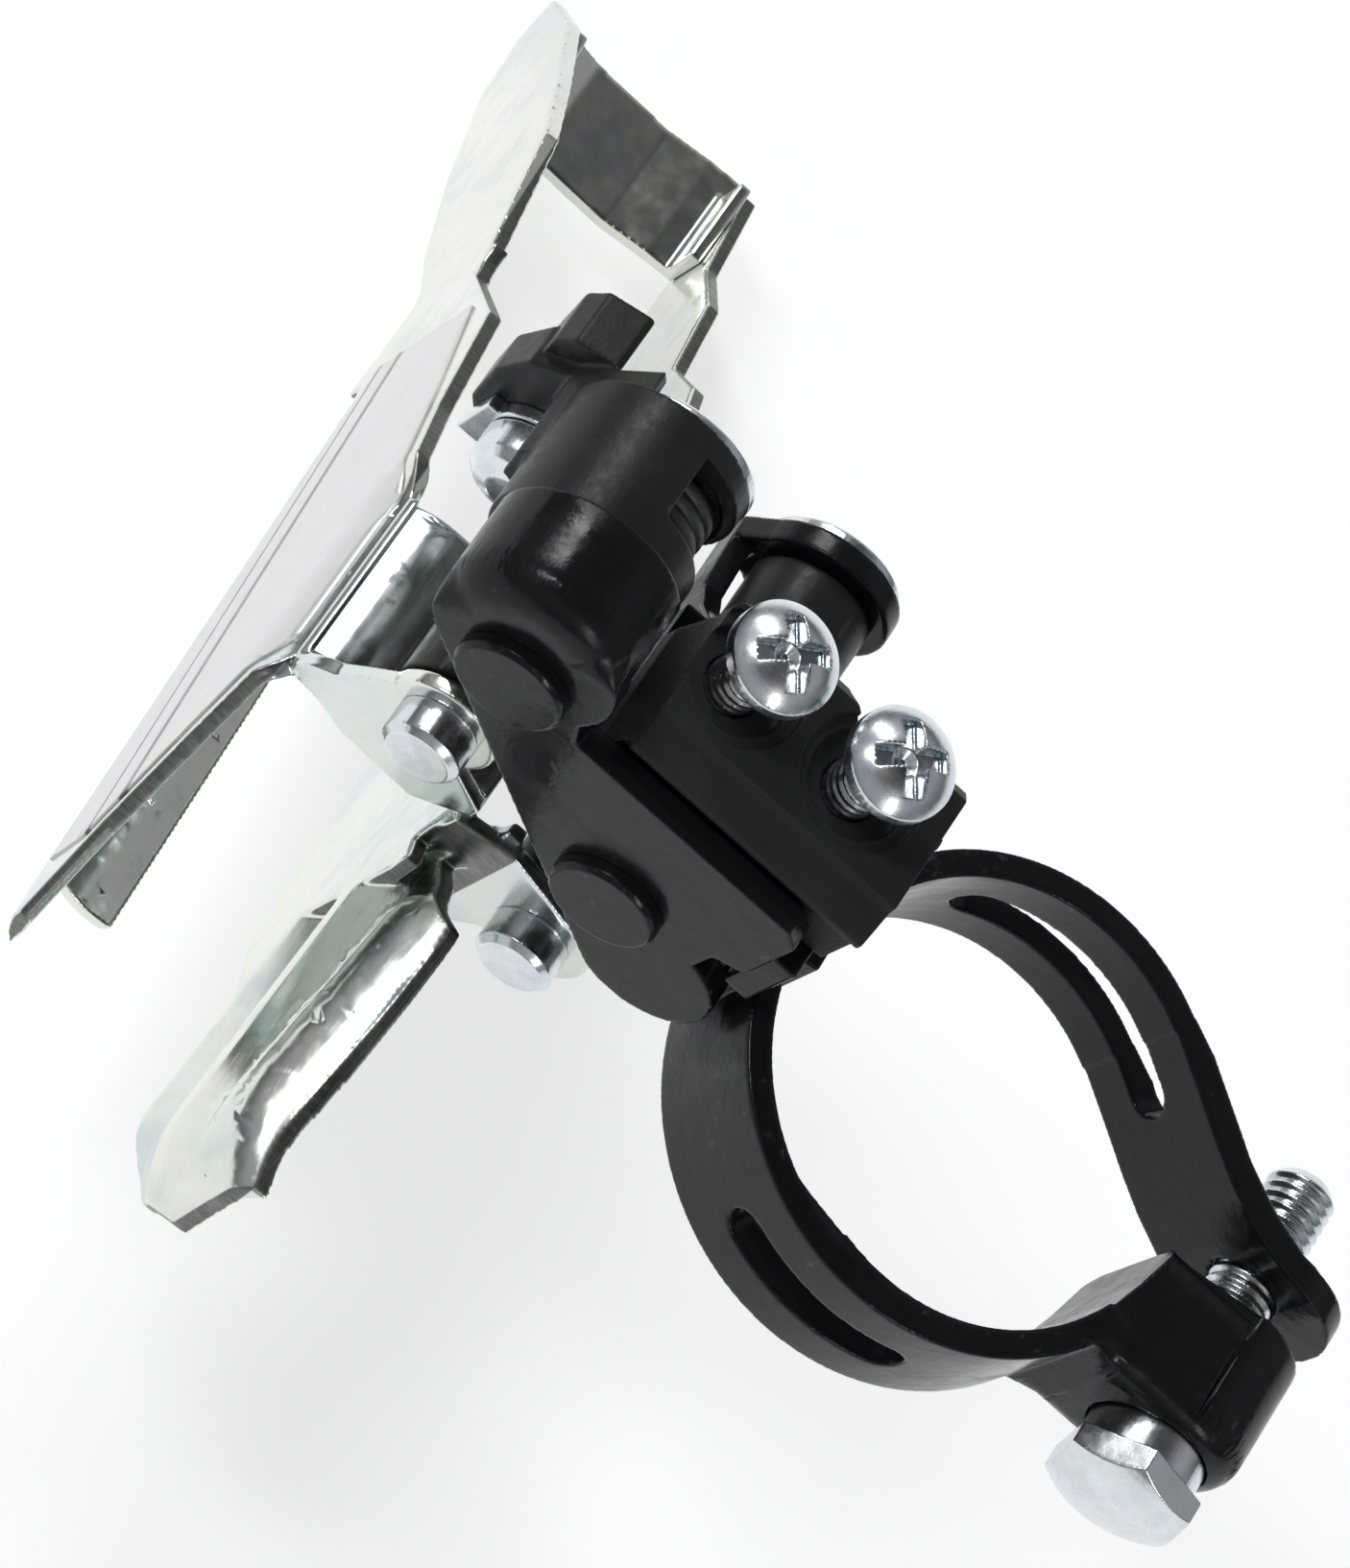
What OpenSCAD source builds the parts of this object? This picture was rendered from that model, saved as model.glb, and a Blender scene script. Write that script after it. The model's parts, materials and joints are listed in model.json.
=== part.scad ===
// Band-clamp front derailleur: +X is bike-forward, +Y is inboard, +Z is up the seat tube.
// The origin is the centre of the seat tube, at mid width of the clamp band.

/* [Clamp] */
// Diameter of the seat tube that the band grips
tube_d = 28.6; // [28.6:0.1:29]
// Thickness of the clamp band
band_t = 1.8; // [1.6:0.1:2]
// Width of the clamp band along the tube
band_w = 11.6; // [11:0.2:12]
// Distance from the tube axis to the clamp bolt axis
bolt_y = 22.4; // [22:0.1:23]
// Width across the flats of the clamp bolt's head
bolt_af = 9; // [8:0.5:9]

/* [Linkage] */
// Outboard distance of the outer fixed pivot
pivot_a_y = 43.5; // [43.3:0.1:43.7]
// Height of the outer fixed pivot above the clamp's middle
pivot_a_z = 18.3; // [18.1:0.1:18.5]
// Outboard distance of the inner fixed pivot
pivot_b_y = 28; // [27.8:0.1:28.2]
// Height of the inner fixed pivot above the clamp's middle
pivot_b_z = 5.6; // [5.4:0.1:5.8]
// Drop from a fixed pivot to its moving pivot
link_drop = 18.2; // [18:0.1:18.4]
// Inboard lean of the links at rest, from a fixed pivot to its moving pivot
link_lean = 2; // [1.9:0.1:2.1]
// Swing from the inner stop to the outer stop, in degrees
swing = 50; // [40:1:50]

/* [Cage] */
// Outboard distance of the outer plate's outer face
cage_out_y = 51.5; // [51.4:0.1:51.6]
// Outboard distance of the inner plate's outboard face
cage_in_y = 36; // [35.9:0.1:36.1]
// Thickness of the cage plates
cage_t = 1.2; // [1:0.1:1.3]

/* [Pins] */
// Radius of the fixed pivot pins
pin_r = 2; // [1.9:0.05:2.1]
// Radius of the cage studs' shafts
stud_r = 1.8; // [1.7:0.05:1.9]
// Running clearance round a pin, on the radius
run_c = 0.05; // [0.03:0.01:0.08]

/* [Hidden] */
$fn = 48;

// clamp
bore_r = tube_d / 2 + 0.05;
band_r = bore_r + band_t;
ear_rear_x = [-6.2, -4.2];
ear_front_x = [-1.2, 8.4];
front_c = [-0.5, -0.9];
front_r = 15.4;
bolt_r = 2.45;
bolt_head_x = 10.6;
bolt_tip_x = -13.6;

// fixed pivots and moving pivots, as [y, z]
pa = [-pivot_a_y, pivot_a_z];
pb = [-pivot_b_y, pivot_b_z];
link = [link_lean, -link_drop];
pc = pa + link;
pd = pb + link;

// bracket
plate_x = 7.2;
plate_t = 2;
plate_back = plate_x - plate_t;
shoulder_c = [-44.5, 21];
shoulder_r = 6.3;
shoulder_t = 1.5;
shoulder_back = -0.5;
foot_c = [-22.3, 1.2];
foot_r = 4.8;
wall_y = [-19.2, -17.2];
web_z = [11.2, 12.5];
rear_b_x = [-20, -18.2];
pin_a_tail = -10.8;
saddle_x = [-11.5, 2];

// links
barrel_x = [-10.4, -0.8];
barrel_c = [-44.4, 19];
barrel_r = 6.3;
barrel_bore = 4.85;
barrel_wall = 1.3;
hub_r = 3.2;
eye_r = 3.9;
c_eye_x = [-8.6, 1.7];
b_eye_x = [-17.9, 4.9];
cable_c = [-48.5, 9.3];
d_eye_x = [-11, 1.7];
arm_w = 4.6;
tab_l = 6.6;

// limit screws, as [x, y] of their axes
low_axis = [-2.1, -22.7];
high_axis = [-2.1, -32.3];
screw_r = 1.95;
screw_head_r = 3.6;
screw_head_z = 24.2;
screw_tip_z = 11.3;
block_z = [12.6, 20.2];

// cage
lug_x = [2, 3.2];
outer_face = -cage_out_y;
inner_face = -cage_in_y;
bridge_z = -5;
tail_yaw = 5;
tail_hinge_x = -41;

// ---------- helpers ----------

// a 2-D [y, z] shape pulled along X
module along_x(x0, x1) {
  translate([x0, 0, 0]) rotate([90, 0, 90]) linear_extrude(x1 - x0) children();
}

// a 2-D [x, z] shape pulled along Y
module along_y(y0, y1) {
  translate([0, y1, 0]) rotate([90, 0, 0]) linear_extrude(y1 - y0) children();
}

// a round bar parallel to X, centred on c = [y, z]
module rod_x(c, x0, x1, r) {
  translate([x0, c[0], c[1]]) rotate([0, 90, 0]) cylinder(h = x1 - x0, r = r);
}

// a round bar with a chamfer at its +X end
module stud_x(c, x0, x1, r, bevel) {
  rod_x(c, x0, x1 - bevel, r);
  translate([x1 - bevel, c[0], c[1]]) rotate([0, 90, 0]) cylinder(h = bevel, r1 = r, r2 = r - bevel);
}

// a sector of a ring round Z, from angle a0 to a1
module ring_sector(r0, r1, z0, z1, a0, a1) {
  rotate([0, 0, a0]) translate([0, 0, z0])
    rotate_extrude(angle = a1 - a0, $fn = 96) translate([r0, 0]) square([r1 - r0, z1 - z0]);
}

// a straight strip of width w between two 2-D points, with square ends
module strip(p, q, w) {
  d = q - p;
  translate(p) rotate(atan2(d[1], d[0])) translate([0, -w / 2]) square([norm(d), w]);
}

// ---------- bracket and clamp ----------

module bracket_outline() {
  n = [-0.666, -0.747];
  edge_a = shoulder_c + shoulder_r * n;
  edge_b = foot_c + foot_r * n;
  translate(shoulder_c) circle(shoulder_r);
  translate(foot_c) circle(foot_r);
  polygon([edge_a, edge_b, foot_c, [-17.9, 1.2], [-17.9, 3.6], [-20, 4.2], [-21.2, 5.4], [-21, 8.4],
           [-19.2, 9.4], [-19.2, 15.8], [-20.4, 17], [-37.8, 17], [-38.7, 19], [-39, 23.4], shoulder_c]);
}

module shoulder_flange() {
  difference() {
    along_x(shoulder_back, plate_back) translate(shoulder_c) circle(shoulder_r);
    along_x(shoulder_back - 1, plate_back + 1) translate(shoulder_c) circle(shoulder_r - shoulder_t);
    along_x(shoulder_back - 1, plate_back + 1)
      polygon([[-51.6, 16.8], [-45.4, 21.4], [-37, 24.6], [-36, 12], [-49, 13]]);
  }
}

// web under the adjuster block, and the arm that reaches back to the inner pivot's far flange
module rear_arms() {
  arm_y = [-34.4, -32.8];
  difference() {
    translate([-8, -36, web_z[0]]) cube([plate_back + 8.5, 18.2, web_z[1] - web_z[0]]);
    for (p = [low_axis, high_axis]) translate([p[0], p[1], 0]) cylinder(h = 30, r = screw_r + 0.3);
  }
  along_y(arm_y[0], arm_y[1])
    polygon([[rear_b_x[0], 2.6], [rear_b_x[0], 4.8], [-17.4, 5.2], [-13.6, 6], [-11, 8.4], [-8, web_z[1]],
             [-4.4, web_z[1]], [-4.4, web_z[0] - 0.6], [-8.4, 4.8], [-13, 2.8]]);
  along_x(rear_b_x[0], rear_b_x[1]) {
    translate(pb) circle(5.3);
    polygon([[arm_y[0], 4.8], [arm_y[0], 2.6], [-32.6, 1.6], pb, [-32.4, 8.4]]);
  }
}

module bracket() {
  color([0.07, 0.07, 0.08])
  difference() {
    union() {
      along_x(plate_back, plate_x) bracket_outline();
      shoulder_flange();
      rear_arms();
      // wall that faces the seat tube, open at the front below for the hooked band
      translate([-8, wall_y[0], 6.1]) cube([plate_x - 0.5 + 8, wall_y[1] - wall_y[0], web_z[1] - 6.1]);
      translate([saddle_x[0], wall_y[0], -2.6]) cube([saddle_x[1] - saddle_x[0], 2, 9]);
      // saddle that the rear band is brazed to
      translate([saddle_x[0], wall_y[0], -2.6]) cube([saddle_x[1] - saddle_x[0], 7, 8.4]);
    }
    translate([0, 0, -20]) cylinder(h = 40, r = band_r, $fn = 96);
    rod_x(pa, rear_b_x[0] - 1, plate_x + 1, pin_r);
    rod_x(pb, rear_b_x[0] - 1, plate_x + 1, pin_r);
  }
}

// a slot through a band of inner radius r, between two angles
module band_slot(r, a0, a1, w, depth = 8) {
  for (a = [a0, a1]) rotate([0, 0, a]) translate([r - 2, 0, 0]) rotate([0, 90, 0]) cylinder(h = depth, r = w / 2);
  ring_sector(r - 1, r + depth - 2, -w / 2 + 0.01, w / 2 - 0.01, a0, a1);
}

// sheet that leaves the ring in an S-curve and ends in a flat ear
module rear_ear_profile() {
  polygon([[-14.2, 7.5], [-13.95, 8.3], [-12.9, 10.5], [-10.6, 13.9], [-8.9, 16.4], [-7.4, 19.4], [-6.4, 22.6],
           [ear_rear_x[0], 25], [ear_rear_x[0], 30], [ear_rear_x[1], 30], [ear_rear_x[1], 24.6],
           [-4.6, 21.6], [-5.4, 18.8], [-6.9, 15.8], [-8.4, 13.4], [-10.6, 10.2], [-12.4, 7.5], [-12.75, 6.8]]);
}

module clamp_band_rear() {
  color([0.08, 0.08, 0.09])
  difference() {
    union() {
      ring_sector(bore_r, band_r, -band_w / 2, band_w / 2, 149, 276);
      intersection() {
        translate([0, 0, -band_w / 2]) linear_extrude(band_w) rear_ear_profile();
        along_x(-20, 0) {
          translate([bolt_y + 0.7, 0]) circle(band_w / 2);
          translate([0, -band_w / 2]) square([bolt_y + 0.7, band_w]);
        }
      }
    }
    band_slot(bore_r, 138, 206, 3.6, 6.3);
    rod_x([bolt_y, 0], -20, 20, bolt_r + run_c);
  }
}

module clamp_band_front() {
  x0 = ear_front_x[0];
  x1 = ear_front_x[1];
  ear_w = band_w - 0.1;
  color([0.08, 0.08, 0.09])
  difference() {
    union() {
      translate([front_c[0], front_c[1], 0])
        ring_sector(front_r, front_r + band_t, -band_w / 2, band_w / 2, -74, 68);
      // seat that bears on the tube, with a tapered lead-in
      ring_sector(bore_r, bore_r + 1, -ear_w / 2, ear_w / 2, -14, 63);
      translate([0, 0, 0.1 - ear_w / 2]) linear_extrude(ear_w - 0.2)
        polygon([[14.1, -3], [13, -8.7], [14.4, -8.9], [15.4, -3.6], [15, -2.4]]);
      // pressed ear: a deep cup with a rounded free end
      intersection() {
        translate([0, 0, -ear_w / 2]) linear_extrude(ear_w)
          polygon([[x0, 40], [x1, 40], [x1, 16.4], [8.2, 14.2], [6.6, 13.2], [2.8, 14.4], [x0, 15.4]]);
        along_x(x0 - 1, x1 + 1) {
          translate([bolt_y, 0]) circle(ear_w / 2);
          translate([10, -ear_w]) square([bolt_y - 10, 2 * ear_w]);
        }
      }
      // curled end that hooks behind the bracket
      translate([3.7, -17.9, -3.4]) cylinder(h = 8.6, r = 1.4);
    }
    translate([front_c[0], front_c[1], 0]) band_slot(front_r - 0.5, -21, 17, 3.4);
    rod_x([bolt_y, 0], -20, 20, 2.75);
    // hollow behind the ear's face
    rod_x([bolt_y, 0], x0 - 1, x1 - 2.2, 4.1);
    // pocket that takes the bolt's collar
    rod_x([bolt_y, 0], x1 - 0.8, x1 + 1, 4.3);
  }
}

module clamp_bolt() {
  head_h = 3.2;
  color([0.8, 0.81, 0.82])
  difference() {
    union() {
      // plain collar, hex head and threaded shank
      rod_x([bolt_y, 0], ear_front_x[1] - 0.8, bolt_head_x, 4.15);
      intersection() {
        translate([bolt_head_x, bolt_y, 0]) rotate([0, 90, 0]) rotate(12)
          cylinder(h = head_h, r = bolt_af / 2 / cos(30), $fn = 6);
        translate([bolt_head_x + head_h - 9.2, bolt_y, 0]) sphere(r = 9.2, $fn = 64);
      }
      rod_x([bolt_y, 0], bolt_tip_x + 0.5, ear_front_x[1], bolt_r - 0.25);
      // thread crests
      for (k = [0 : 15])
        translate([bolt_tip_x + 0.5 + k * 0.8, bolt_y, 0]) rotate([0, 90, 0]) {
          cylinder(h = 0.35, r1 = bolt_r - 0.25, r2 = bolt_r);
          translate([0, 0, 0.35]) cylinder(h = 0.35, r1 = bolt_r, r2 = bolt_r - 0.25);
        }
      translate([bolt_tip_x, bolt_y, 0]) rotate([0, 90, 0]) cylinder(h = 0.5, r1 = 1.8, r2 = bolt_r - 0.25);
    }
  }
}

// ---------- limit screws and their block ----------

module adjuster_block() {
  color([0.1, 0.1, 0.1])
  difference() {
    along_y(-36.2, -16.6)
      polygon([[-7, block_z[0]], [4.6, block_z[0]], [4.6, 17.4], [5.5, 17.9], [5.5, 18.5], [3.1, 19.6],
               [2.9, block_z[1]], [-6, block_z[1]], [-7, 19.2]]);
    // cut back at the tube side and at the outboard corner
    translate([-9, -20, 18]) rotate([0, 0, 45]) cube([6, 12, 6], center = true);
    translate([-9, -37, 10]) rotate([0, 0, 45]) cube([7, 7, 30], center = true);
    for (p = [low_axis, high_axis]) translate([p[0], p[1], 0]) {
      cylinder(h = 40, r = screw_r + run_c);
      // shallow cup with a stepped rim
      translate([0, 0, block_z[1] - 0.5]) cylinder(h = 3, r = 4.3);
      translate([0, 0, block_z[1] - 1.6]) cylinder(h = 3, r = 3.5);
    }
    // keep clear of the outer link's barrel
    rod_x(pa, -12, 6, 8.2);
  }
}

module limit_screw(p) {
  color([0.78, 0.79, 0.8])
  translate([p[0], p[1], 0])
  difference() {
    union() {
      translate([0, 0, screw_tip_z]) cylinder(h = 0.5, r1 = 1.3, r2 = screw_r - 0.25);
      translate([0, 0, screw_tip_z + 0.5]) cylinder(h = screw_head_z - screw_tip_z - 0.5, r = screw_r - 0.25);
      for (k = [0 : 15])
        translate([0, 0, screw_tip_z + 0.6 + k * 0.75]) {
          cylinder(h = 0.32, r1 = screw_r - 0.25, r2 = screw_r);
          translate([0, 0, 0.32]) cylinder(h = 0.32, r1 = screw_r, r2 = screw_r - 0.25);
        }
      // pan head: straight side, then a crowned top
      intersection() {
        translate([0, 0, screw_head_z]) cylinder(h = 2.7, r = screw_head_r);
        translate([0, 0, screw_head_z + 2.7 - 4.6]) sphere(r = 4.6, $fn = 64);
      }
    }
    // slot across the head and a cross recess
    translate([0, 0, screw_head_z + 2.7]) {
      rotate([0, 0, 35]) cube([9, 1, 1.2], center = true);
      for (a = [35, 125]) rotate([0, 0, a]) cube([4.8, 1.3, 3], center = true);
      translate([0, 0, -2.1]) cylinder(h = 1, r1 = 0.3, r2 = 1.2);
    }
  }
}

module low_limit_screw() { limit_screw(low_axis); }
module high_limit_screw() { limit_screw(high_axis); }

// ---------- fixed pins ----------

module pivot_pin(c, rear_x) {
  color([0.06, 0.06, 0.07]) {
    rod_x(c, rear_x, plate_x + 0.4, pin_r);
    stud_x(c, plate_x, plate_x + 1.1, 3.8, 0.3);
  }
}

module outer_pivot_pin() { pivot_pin(pa, pin_a_tail); }
module inner_pivot_pin() { pivot_pin(pb, rear_b_x[0]); }

// riveted end disc of a pin
module pin_disc(c, x, r) {
  color([0.78, 0.79, 0.8])
  translate([x, c[0], c[1]]) rotate([0, -90, 0]) {
    cylinder(h = 0.7, r = r);
    translate([0, 0, 0.7]) cylinder(h = 0.4, r1 = r, r2 = r - 0.5);
  }
}

module outer_pin_disc() { pin_disc(pa, pin_a_tail, 5.7); }
module inner_pin_disc() { pin_disc(pb, rear_b_x[0], 4.8); }

// ---------- outer link, with the cable arm ----------

module outer_link_arm() {
  along_x(c_eye_x[0], c_eye_x[1]) {
    difference() {
      strip(pa, pc, arm_w);
      translate(pa) circle(hub_r + 0.2);
    }
  }
}

module cable_arm() {
  difference() {
    union() {
      // block that the cable bolt clamps against
      along_x(-14.4, -11.2)
        polygon([[-44.6, 12.6], [-44.6, 5.6], [-51.6, 5.2], [-53.6, 8], [-54.2, 12], [-53.4, 15.6], [-51.6, 17.2], [-44.6, 24]]);
      // raised guide lobe behind it
      along_x(-16.4, -12.2)
        polygon([[-52.6, 12], [-53.4, 17.6], [-52.6, 19.4], [-49.8, 20.4], [-48.6, 19.8], [-48.4, 16], [-49, 11]]);
      // gusset that ties the block to the barrel's side
      along_x(-12, barrel_x[1] - 4)
        polygon([[-51.2, 17.6], [-50.6, 14.6], [-46.5, 13.2], [-44.4, 19], [-48, 24]]);
    }
    rod_x(pa, -30, barrel_x[0], 6.2);
  }
}

module outer_link() {
  color([0.12, 0.12, 0.13])
  difference() {
    union() {
      rod_x(barrel_c, barrel_x[0], barrel_x[1], barrel_r);
      rod_x(pa, barrel_x[0], plate_back - 0.3, hub_r);
      rod_x(pc, c_eye_x[0], c_eye_x[1], eye_r);
      outer_link_arm();
      cable_arm();
    }
    // hollow that holds the spring, leaving a hub in its middle
    difference() {
      rod_x(pa, barrel_x[0] + barrel_wall, barrel_x[1] - barrel_wall, barrel_bore);
      rod_x(pa, barrel_x[0], barrel_x[1], hub_r);
    }
    // window over the spring
    along_x(-8.8, -4)
      polygon([[-43.7, 22.2], [-42.6, 28], [-33, 28], [-33, 15.4], [-39.4, 16], [-39.7, 18.7], [-41.1, 21.1]]);
    rod_x(pa, -30, 30, pin_r + run_c);
    rod_x(pc, -30, 30, stud_r + run_c);
    rod_x(cable_c, -30, -4, 2.55);
    // slimmed waist of the arm
    along_x(c_eye_x[0] + 2, c_eye_x[1] - 2) strip(pa + link * 0.46, pa + link * 0.76, arm_w + 3);
  }
}

// coil spring round the hub, as a ribbed sleeve
module return_spring() {
  x0 = barrel_x[0] + barrel_wall + 0.3;
  wire = 1.2;
  n = 5;
  color([0.5, 0.5, 0.5])
  translate([x0, pa[0], pa[1]]) rotate([0, 90, 0])
    rotate_extrude($fn = 64) {
      for (k = [0 : n - 1]) translate([4, wire * (k + 0.5)]) circle(wire / 2 + 0.04, $fn = 24);
      translate([3.65, wire * 0.4]) square([0.7, wire * (n - 0.8)]);
    }
}

// plastic sleeve between the hub and the spring
module spring_sleeve() {
  color([0.85, 0.85, 0.82])
  difference() {
    rod_x(pa, barrel_x[0] + barrel_wall + 0.1, barrel_x[1] - barrel_wall - 0.1, 3.3);
    rod_x(pa, -20, 20, hub_r);
  }
}

module cable_bolt() {
  color([0.8, 0.81, 0.82]) {
    rod_x(cable_c, -15.6, -9.8, 2.45);
    rod_x(cable_c, -10.2, -8.1, 3.3);
    translate([-8.1, cable_c[0], cable_c[1]]) rotate([0, 90, 0]) cylinder(h = 0.7, r1 = 3.3, r2 = 2.7);
    translate([-7.4, cable_c[0], cable_c[1]]) rotate([0, 90, 0]) cylinder(h = 0.5, r1 = 2.7, r2 = 1.5);
  }
}

module cable_washer() {
  color([0.8, 0.81, 0.82])
  difference() {
    union() {
      rod_x(cable_c, -11.2, -10.2, 3.6);
      translate([-11.2, cable_c[0] - 4.4, cable_c[1] - 3.4]) cube([1, 2.2, 4.4]);
    }
    rod_x(cable_c, -14, 0, 2.5);
  }
}

module cable_nut() {
  color([0.75, 0.76, 0.77])
  difference() {
    translate([-16.4, cable_c[0], cable_c[1]]) rotate([0, 90, 0]) cylinder(h = 2, r = 3.5, $fn = 6);
    rod_x(cable_c, -18, -9, 2.5);
    along_x(-20, 0) translate([-53, 11.2]) square([8, 10]);
  }
}

// ---------- inner link ----------

// stop tab that meets a limit screw's tip
module stop_tab(side, turn) {
  translate([0, pb[0], pb[1]]) rotate([turn, 0, 0])
    translate([-3.2, side > 0 ? 0 : -tab_l, 2.6]) cube([4.4, tab_l, 2.7]);
}

module inner_link() {
  color([0.1, 0.1, 0.11])
  difference() {
    union() {
      rod_x(pb, b_eye_x[0], b_eye_x[1], 4.2);
      rod_x(pd, d_eye_x[0], d_eye_x[1], eye_r - 0.1);
      along_x(d_eye_x[0], d_eye_x[1]) strip(pb, pd, arm_w - 0.6);
      stop_tab(1, 0);
      stop_tab(-1, swing);
    }
    rod_x(pb, -30, 30, 2.85);
    rod_x(pd, -30, 30, stud_r + run_c);
    along_x(d_eye_x[0] + 2.2, d_eye_x[1] - 2.2) strip(pb + link * 0.3, pb + link * 0.72, arm_w + 3);
  }
}

// plain bushes pressed into both ends of the inner link's upper eye
module inner_link_bushes() {
  color([0.85, 0.85, 0.82])
  for (x = [b_eye_x[0] - 0.2, b_eye_x[1] - 5.8])
    difference() {
      rod_x(pb, x, x + 6, 2.85);
      rod_x(pb, x - 1, x + 7, pin_r + run_c);
    }
}

// ---------- cage ----------

module outer_plate_outline() {
  polygon([[20.4, -22.6], [21.2, -25.6], [17.6, -29.4], [2, -33.6], [-20, -38.6], [-31, -41], [-42.4, -40],
           [-42.4, -27.4], [-39.6, -27.6], [-30.6, -15], [-20, -10.2], [-11, -4.7], [2.2, -4.7],
           [8.4, -12], [14, -17.8]]);
}

// section of the outer plate's front half, its lower edge curling inboard
module outer_section() {
  y = outer_face;
  t = cage_t;
  polygon([[y, 20], [y, -27.6], [y + 0.5, -28.8], [y + 1.7, -29.7], [y + 6, -31.1],
           [y + 6.4, -30], [y + 2.2, -28.6], [y + 1.5, -28], [y + t, -27], [y + t, 20]]);
}

module outer_tail() {
  translate([tail_hinge_x, outer_face, 0]) rotate([0, 0, tail_yaw]) translate([-tail_hinge_x, 0, 0])
    along_y(0, cage_t)
      polygon([[-39, -27], [-39, -38], [-42, -38.6], [-47.4, -43.4], [-57, -49.6], [-67.4, -54.6],
               [-72.6, -53.6], [-75, -50.4], [-69.4, -42.6], [-61, -36], [-53.8, -31]]);
}

module cage_outer_plate() {
  color([0.78, 0.79, 0.8])
  difference() {
    union() {
      intersection() {
        union() {
          rotate([0, -13, 0]) along_x(-60, 60) outer_section();
          along_y(outer_face, outer_face + cage_t) translate([-44, -38]) square([12, 40]);
        }
        along_y(outer_face - 1, outer_face + 10) outer_plate_outline();
        translate([-44, outer_face - 1, -60]) cube([80, 12, 80]);
      }
      outer_tail();
      // bridge over the chain space, folded from the top edge
      translate([-11, outer_face, bridge_z - cage_t]) cube([13.2, 16.4, cage_t]);
      // lug that carries the outer stud
      along_x(lug_x[0], lug_x[1]) {
        translate(pc) circle(4);
        polygon([[outer_face + 0.6, bridge_z - cage_t], [outer_face + 0.6, bridge_z], [-47.8, -3.6],
                 [-43.4, 3.6], pc, [-38, -3], [-35.1, bridge_z], [-35.1, bridge_z - cage_t],
                 [-38.4, -9.4], [-44.5, -9]]);
      }
    }
    rod_x(pc, -30, 30, stud_r);
    for (x = [-8.6, -2.6]) translate([x, -38.2, -20]) cylinder(h = 30, r = 1);
    // the lip stops short of the nose
    translate([15, outer_face + 1.35, -60]) cube([20, 12, 40]);
  }
}

module inner_plate_outline() {
  polygon([[28.6, -13.6], [31, -20], [28.6, -26], [22.2, -29.6], [13, -27.6], [6.3, -33.4], [-6, -35.6],
           [-14, -35.4], [-24, -39.6], [-42, -47], [-60, -48.6], [-70.4, -48.6], [-69.6, -44.4], [-60.6, -40.8],
           [-54, -33.6], [-46.4, -30.6], [-41, -22], [-26, -12], [-11, bridge_z - cage_t],
           [2.2, bridge_z - cage_t], [3.6, -12], [8.6, -8.4], [14, -9.6], [23.5, -12.2]]);
}

// section of the inner plate: pressed ribs run along it
module inner_section() {
  y = inner_face;
  t = cage_t;
  polygon([[y, -70], [y, -25], [y + 1.1, -22.6], [y + 1.1, -20.8], [y, -18.6], [y, -16.8], [y + 3.4, -8],
           [y + 3.4, 10], [y + 3.4 + t, 10], [y + 3.4 + t, -8.3], [y + t, -17.1], [y + t, -18.9],
           [y + 1.1 + t, -21], [y + 1.1 + t, -22.8], [y + t, -25.2], [y + t, -70]]);
}

module cage_inner_plate() {
  color([0.75, 0.77, 0.79])
  difference() {
    union() {
      intersection() {
        union() {
          rotate([0, 8, 0]) along_x(2, 60) inner_section();
          along_y(inner_face, inner_face + cage_t) translate([-80, -80]) square([86, 100]);
        }
        along_y(inner_face - 1, inner_face + 6) inner_plate_outline();
      }
      // flange under the bridge
      translate([-11, inner_face - 4.4, bridge_z - 2 * cage_t]) cube([13.2, 5, cage_t]);
      // lug that carries the inner stud
      along_x(lug_x[0], lug_x[1]) {
        translate(pd) circle(4.2);
        polygon([[inner_face + 0.4, -7.6], [inner_face + 0.4, -20], [-29.5, -18.6], pd, [-25, -8.6], [-31, -6.4]]);
      }
    }
    rod_x(pd, -30, 30, stud_r);
    for (x = [-8.6, -2.6]) translate([x, -38.2, -20]) cylinder(h = 30, r = 1);
  }
}

module cage_stud(c, tail_x) {
  color([0.82, 0.83, 0.84]) {
    rod_x(c, tail_x, lug_x[1] + 0.5, stud_r);
    stud_x(c, lug_x[1], lug_x[1] + 2.7, 2.75, 0.5);
  }
}

module cage_outer_stud() { cage_stud(pc, c_eye_x[0] - 1.6); }
module cage_inner_stud() { cage_stud(pd, d_eye_x[0] - 1.6); }

module cage_stud_clips() {
  color([0.3, 0.3, 0.3])
  for (s = [[pc, c_eye_x[0]], [pd, d_eye_x[0]]])
    difference() {
      rod_x(s[0], s[1] - 1.1, s[1] - 0.3, 3.2);
      rod_x(s[0], s[1] - 2, s[1] + 1, stud_r);
    }
}

module bridge_rivets() {
  color([0.8, 0.81, 0.82])
  for (x = [-8.6, -2.6]) translate([x, -38.2, 0]) {
    translate([0, 0, bridge_z - 2 * cage_t - 0.5]) cylinder(h = 2 * cage_t + 1, r = 1);
    translate([0, 0, bridge_z]) cylinder(h = 0.5, r1 = 1.7, r2 = 1.2);
    translate([0, 0, bridge_z - 2 * cage_t - 0.5]) cylinder(h = 0.5, r1 = 1.2, r2 = 1.7);
  }
}

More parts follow.
